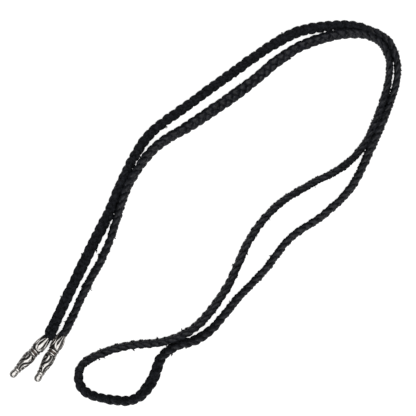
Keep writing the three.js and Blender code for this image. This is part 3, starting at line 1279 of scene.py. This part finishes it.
@dataclass
class SilverTip:
    """A cast silver tip: petals at the mouth, two rings, S-scrolls, a collar and a round bead end."""

    node: str
    end: TipEnd
    spin: float
    finish: SilverFinish
    petals: Petals = Petals()
    scrolls: Scrolls = Scrolls()
    socket_radius: float = 0.0019
    socket_depth: float = 0.008
    socket_margin: float = 1.05
    rows: int = 290
    steps: int = 216
    rounding: float = 0.00009
    rounding_reach: float = 3.0
    ring_fade: float = 0.0008
    ring_slant: float = 0.0002
    groove_width: float = 0.0005
    groove_reach: float = 2.5
    groove_depths: Range = (-0.00016, -0.00002)
    bead_fade: float = 0.001

    def outline(self) -> tuple[Array, Array]:
        """The tip's outside profile, finely spaced and slightly rounded.

        Returns:
            Distances from the mouth and radii, one for each row.
        """
        along = np.array([p.along for p in TIP_PROFILE])
        radius = np.array([p.radius for p in TIP_PROFILE])
        length = np.concatenate(((0,), np.cumsum(np.hypot(np.diff(along), np.diff(radius)))))
        places = np.linspace(0, length[-1], self.rows + 1)
        width = self.rounding / (places[1] - places[0])
        fine_radius = np.interp(places, length, radius)
        rounded = bell_smoothed(fine_radius, width, math.ceil(self.rounding_reach * width))
        rounded[-1] = 0
        return np.interp(places, length, along), rounded

    def groove_polish(self, along: Array, outline: Array) -> Array:
        """Share of polish of the plain profile: grooves stay dark.

        Args:
            along: Distances from the mouth.
            outline: Radii there.

        Returns:
            One share for each distance.
        """
        width = self.groove_width / float(np.median(np.diff(along)))
        smooth = bell_smoothed(outline, width, round(self.groove_reach * width))
        return smoothstep(*self.groove_depths, outline - smooth)

    def skin(self) -> tuple[Array, Array, Array, Array]:
        """The tip's outside with its relief.

        Returns:
            Row places, step angles, radii by row and step, and the share of polish by row and step.
        """
        along, outline = self.outline()
        angle = np.arange(self.steps) * FULL_TURN / self.steps
        u, a = along[:, None], angle[None, :]
        ringed = smoothstep(RING_START - self.ring_fade, RING_START, u)
        ringed = ringed * smoothstep(RING_END + self.ring_fade, RING_END, u)
        slanted = u + self.ring_slant * ringed * np.sin(a)
        radius = np.interp(slanted, along, outline)
        polish = np.interp(slanted, along, self.groove_polish(along, outline))
        fade = smoothstep(0, self.bead_fade, radius)
        for relief in (self.petals.relief(u, a), self.scrolls.relief(u, a)):
            radius = radius + relief.height * fade
            polish = polish * relief.polish
        return along, angle, radius, polish

    def placing(self) -> Matrix:
        """Turn and shift of the tip from its own axis to its place on the table.

        Returns:
            The matrix that places the tip.
        """
        first = self.end is TipEnd.FIRST
        t = np.array((0.0 if first else float(PLAN.spans),))
        outwards = Vector(PLAN.tangents(t)[0]) * (-1 if first else 1)
        axis = outwards * math.cos(TIP_LEAN) - Vector(UP) * math.sin(TIP_LEAN)
        place = Vector(PLAN.points(t)[0] + ROUTE_ORIGIN)
        place.z = MOUTH_HEIGHT
        turn = Vector((0, 1, 0)).rotation_difference(axis).to_matrix().to_4x4()
        return Matrix.Translation(place) @ turn @ Matrix.Rotation(math.radians(self.spin), 4, "Y")

    def spun(self) -> bmesh.types.BMesh:
        """Spins the socket's and the outside's profile round the tip's axis.

        Returns:
            The plain tip, closed, with its mouth at the origin.
        """
        along, outline = self.outline()
        shape = bmesh.new()
        wide, deep = self.socket_radius, self.socket_depth
        profile = ((0.0, deep), (wide, deep), (wide, 0.0), *zip(outline, along))
        line = [shape.verts.new((r, u, 0)) for r, u in profile]
        edges = [shape.edges.new(pair) for pair in zip(line, line[1:])]
        bmesh.ops.spin(
            shape, geom=line + edges, axis=(0, 1, 0), cent=(0, 0, 0), angle=FULL_TURN, steps=self.steps,
            use_merge=True,
        )
        bmesh.ops.remove_doubles(shape, verts=shape.verts, dist=MERGE_DISTANCE)
        return shape

    def ornament(self, shape: bmesh.types.BMesh) -> None:
        """Raises the relief on a spun tip, marks its polish and draws the mouth out to the petals' points.

        Args:
            shape: The plain tip.
        """
        along, angle, radius, polish = self.skin()
        crests = shape.verts.layers.float.new(CREST_ATTRIBUTE)
        middles = (along[1:] + along[:-1]) / 2
        petals = self.petals
        points_out = petals.points(angle)
        for vertex in shape.verts:
            x, u, z = vertex.co
            r = math.hypot(x, z)
            step = round(math.atan2(x, z) / FULL_TURN * self.steps) % self.steps
            if r > self.socket_radius * self.socket_margin or u > self.socket_depth * self.socket_margin:
                row = int(np.searchsorted(middles, u))
                vertex[crests] = polish[row, step]
                if r > MERGE_DISTANCE:
                    vertex.co.x *= radius[row, step] / r
                    vertex.co.z *= radius[row, step] / r
            drawn = max(0.0, 1 - u / petals.point_length / petals.point_fade) ** 2
            closed = 1 - petals.point_closing * drawn * max(0.0, -points_out[step] / petals.point_length)
            vertex.co.x *= closed
            vertex.co.z *= closed
            vertex.co.y += points_out[step] * drawn

    def build(self) -> bpy.types.Object:
        """Makes the tip and lays it in its place.

        Returns:
            The finished tip, which stands for its solid and rides on the part's body.
        """
        shape = self.spun()
        self.ornament(shape)
        bmesh.ops.recalc_face_normals(shape, faces=shape.faces)
        bmesh.ops.transform(shape, matrix=self.placing(), verts=shape.verts)
        piece = place_piece(f"silver_{self.node}", shape, self.finish)
        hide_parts(self.node)
        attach(piece, BODY)
        return piece


@dataclass(frozen=True)
class SoftLight:
    """A square soft light: its name, place, length of side and power in watts."""

    name: str
    place: tuple[float, float, float]
    size: float
    power: float


@dataclass
class Studio:
    """The white table top, the soft lights and the camera."""

    finish: FloorFinish
    floor_size: float = 6.0
    floor_squares: int = 8
    room_light: float = 0.14
    overhead: SoftLight = SoftLight("overhead_softbox", (0.05, -0.35, 1.9), 2.8, 53.0)
    front: SoftLight = SoftLight("low_front_fill", (0.02, -1.0, 0.3), 0.55, 2.3)
    image_width: float = 0.2288
    image_centre: tuple[float, float] = (0.000994, 0.002924)
    camera_height: float = 1.2
    sensor: float = 36.0

    def build_floor(self) -> None:
        """Lays the table top under the necklace."""
        shape = bmesh.new()
        squares = self.floor_squares
        bmesh.ops.create_grid(shape, x_segments=squares, y_segments=squares, size=self.floor_size / 2)
        place_piece("table_top", shape, self.finish)

    def add_light(self, light: SoftLight) -> None:
        """Hangs a soft light that faces the necklace and doesn't show itself.

        Args:
            light: The light's sizes.
        """
        lamp = bpy.data.lights.new(light.name, "AREA")
        lamp.size = light.size
        lamp.energy = light.power
        holder = bpy.data.objects.new(light.name, lamp)
        holder.location = light.place
        holder.rotation_euler = (-Vector(light.place)).to_track_quat("-Z", "Y").to_euler()
        holder.visible_camera = False
        bpy.context.scene.collection.objects.link(holder)

    def build_lights(self) -> None:
        """Sets the room's even light and the soft lights."""
        world = bpy.data.worlds.new("white_room")
        world.use_nodes = True
        background = world.node_tree.nodes["Background"].inputs
        background["Color"].default_value = WHITE
        background["Strength"].default_value = self.room_light
        bpy.context.scene.world = world
        bpy.context.scene.view_settings.view_transform = "Standard"
        for light in (self.overhead, self.front):
            self.add_light(light)

    def build_camera(self) -> None:
        """Sets the camera straight above the photograph's middle."""
        lens = bpy.data.cameras.new("camera")
        lens.sensor_width = self.sensor
        lens.lens = self.sensor * self.camera_height / self.image_width
        holder = bpy.data.objects.new("camera", lens)
        holder.location = (*self.image_centre, self.camera_height)
        bpy.context.scene.collection.objects.link(holder)
        bpy.context.scene.camera = holder


def main() -> None:
    """Builds the studio, the leather braid and the silver tips."""
    logging.basicConfig(level=logging.INFO, format="%(name)s %(message)s")
    studio = Studio(FloorFinish())
    studio.build_camera()
    studio.build_floor()
    studio.build_lights()
    for piece in Braid(LeatherFinish(), MOUTH_HEIGHT, TIP_LEAN).build():
        report(piece)
    silver = SilverFinish()
    tips = (
        SilverTip("tip_left", TipEnd.FIRST, spin=-14.0, finish=silver),
        SilverTip("tip_right", TipEnd.LAST, spin=-36.0, finish=silver),
    )
    for tip in tips:
        report(tip.build())


if __name__ == "__main__":
    main()
